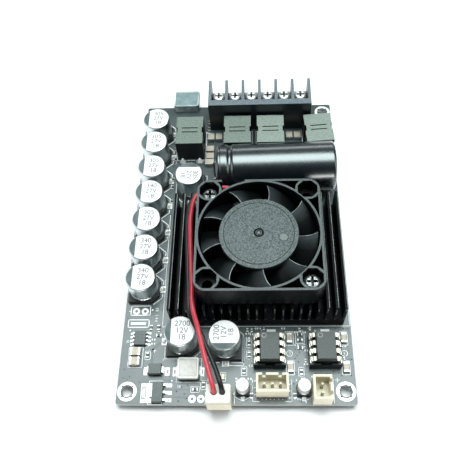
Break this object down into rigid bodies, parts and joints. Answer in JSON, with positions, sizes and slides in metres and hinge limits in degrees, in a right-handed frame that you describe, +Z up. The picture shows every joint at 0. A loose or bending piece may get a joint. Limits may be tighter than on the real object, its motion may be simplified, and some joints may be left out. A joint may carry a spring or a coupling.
{
  "type": "audio amplifier board",
  "caption": "Rectangular audio amplifier circuit board with a fan-cooled finned heatsink, barrier terminal strip, capacitors, output inductors and socketed chips.",
  "frame": {"origin": "centre of the four mounting holes, on the underside of the circuit board", "axes": "+X to the right, +Y to the rear edge that carries the terminal strip, +Z up through the board"},
  "size_m": [0.0746, 0.1284, 0.0269],
  "materials": {
    "board": "glossy solder mask",
    "heatsink": "black anodised",
    "steel_screw": "bright zinc",
    "chip": "fine moulded",
    "fan_plastic": "fine moulded",
    "rotor_plastic": "fine moulded, speckled",
    "magnet": "bonded magnet strip",
    "shaft": "ground",
    "bearing": "sintered",
    "winding": "enamelled wire",
    "lead_red": "soft insulation",
    "lead_black": "soft insulation",
    "plug": "satin moulded",
    "header": "satin moulded",
    "can": "bright drawn",
    "can_base": "moulded",
    "tin": "tin plated",
    "sleeve": "shrink sleeve",
    "seal": "matt",
    "inductor": "sintered ferrite",
    "terminal": "moulded",
    "terminal_metal": "nickel plated",
    "socket": "moulded",
    "socket_shell": "plated sheet",
    "supply_inductor": "coated ferrite",
    "ceramic": "fired ceramic",
    "resistor": "glazed"
  },
  "bodies": {
    "board": {"circuit_board": "board", "heatsink": "heatsink", "heatsink_screws": "steel_screw", "amplifier_chip": "chip", "fan_frame": "fan_plastic", "fan_bearing": "bearing", "fan_stator": "winding", "fan_screws": "steel_screw", "fan_lead_red": "lead_red", "fan_lead_black": "lead_black", "fan_plug": "plug", "fan_header": "header", "reservoir_can": "sleeve", "reservoir_seal": "seal", "reservoir_leads": "tin", "rail_cans": "can", "filter_can_1": "can", "filter_can_2": "can", "filter_can_3": "can", "small_cans": "can", "can_bases": "can_base", "can_tabs": "tin", "inductor_1": "inductor", "inductor_2": "inductor", "inductor_3": "inductor", "inductor_4": "inductor", "inductor_pins": "tin", "terminal_block": "terminal", "terminal_contacts": "tin", "opamp_1": "chip", "opamp_2": "chip", "opamp_legs": "tin", "chip_sockets": "socket", "socket_contacts": "tin", "signal_header": "header", "side_header": "header", "header_pins": "tin", "edge_socket": "socket_shell", "edge_socket_tongue": "socket", "supply_inductor": "supply_inductor", "power_chips": "chip", "chip_legs": "tin", "ceramic_capacitors": "ceramic", "chip_resistors": "resistor", "chip_ends": "tin"},
    "rotor": {"fan_rotor": "rotor_plastic", "fan_magnet": "magnet", "fan_shaft": "shaft"},
    "clamp_1": {"terminal_clamp_1": "terminal_metal"},
    "screw_1": {"terminal_screw_1": "terminal_metal"},
    "clamp_2": {"terminal_clamp_2": "terminal_metal"},
    "screw_2": {"terminal_screw_2": "terminal_metal"},
    "clamp_3": {"terminal_clamp_3": "terminal_metal"},
    "screw_3": {"terminal_screw_3": "terminal_metal"},
    "clamp_4": {"terminal_clamp_4": "terminal_metal"},
    "screw_4": {"terminal_screw_4": "terminal_metal"},
    "clamp_5": {"terminal_clamp_5": "terminal_metal"},
    "screw_5": {"terminal_screw_5": "terminal_metal"},
    "clamp_6": {"terminal_clamp_6": "terminal_metal"},
    "screw_6": {"terminal_screw_6": "terminal_metal"}
  },
  "joints": [
    {"name": "fan_spin", "type": "hinge", "parent": "board", "child": "rotor", "pos_m": [0.00775, -0.0129, 0.02], "axis": [0, 0, 1], "continuous": true},
    {"name": "clamp_lift_1", "type": "slide", "parent": "board", "child": "clamp_1", "axis": [0, 0, 1], "range_m": [0, 0.0025]},
    {"name": "screw_turn_1", "type": "hinge", "parent": "clamp_1", "child": "screw_1", "pos_m": [-0.00722, 0.0557, 0.012], "axis": [0, 0, 1], "continuous": true},
    {"name": "clamp_lift_2", "type": "slide", "parent": "board", "child": "clamp_2", "axis": [0, 0, 1], "range_m": [0, 0.0025]},
    {"name": "screw_turn_2", "type": "hinge", "parent": "clamp_2", "child": "screw_2", "pos_m": [-0.00088, 0.0557, 0.012], "axis": [0, 0, 1], "continuous": true},
    {"name": "clamp_lift_3", "type": "slide", "parent": "board", "child": "clamp_3", "axis": [0, 0, 1], "range_m": [0, 0.0025]},
    {"name": "screw_turn_3", "type": "hinge", "parent": "clamp_3", "child": "screw_3", "pos_m": [0.00547, 0.0557, 0.012], "axis": [0, 0, 1], "continuous": true},
    {"name": "clamp_lift_4", "type": "slide", "parent": "board", "child": "clamp_4", "axis": [0, 0, 1], "range_m": [0, 0.0025]},
    {"name": "screw_turn_4", "type": "hinge", "parent": "clamp_4", "child": "screw_4", "pos_m": [0.01183, 0.0557, 0.012], "axis": [0, 0, 1], "continuous": true},
    {"name": "clamp_lift_5", "type": "slide", "parent": "board", "child": "clamp_5", "axis": [0, 0, 1], "range_m": [0, 0.0025]},
    {"name": "screw_turn_5", "type": "hinge", "parent": "clamp_5", "child": "screw_5", "pos_m": [0.01818, 0.0557, 0.012], "axis": [0, 0, 1], "continuous": true},
    {"name": "clamp_lift_6", "type": "slide", "parent": "board", "child": "clamp_6", "axis": [0, 0, 1], "range_m": [0, 0.0025]},
    {"name": "screw_turn_6", "type": "hinge", "parent": "clamp_6", "child": "screw_6", "pos_m": [0.02453, 0.0557, 0.012], "axis": [0, 0, 1], "continuous": true}
  ],
  "couplings": [
    {"joint": "screw_turn_1", "follows": "clamp_lift_1", "rad_per_m": 12566},
    {"joint": "screw_turn_2", "follows": "clamp_lift_2", "rad_per_m": 12566},
    {"joint": "screw_turn_3", "follows": "clamp_lift_3", "rad_per_m": 12566},
    {"joint": "screw_turn_4", "follows": "clamp_lift_4", "rad_per_m": 12566},
    {"joint": "screw_turn_5", "follows": "clamp_lift_5", "rad_per_m": 12566},
    {"joint": "screw_turn_6", "follows": "clamp_lift_6", "rad_per_m": 12566}
  ]
}
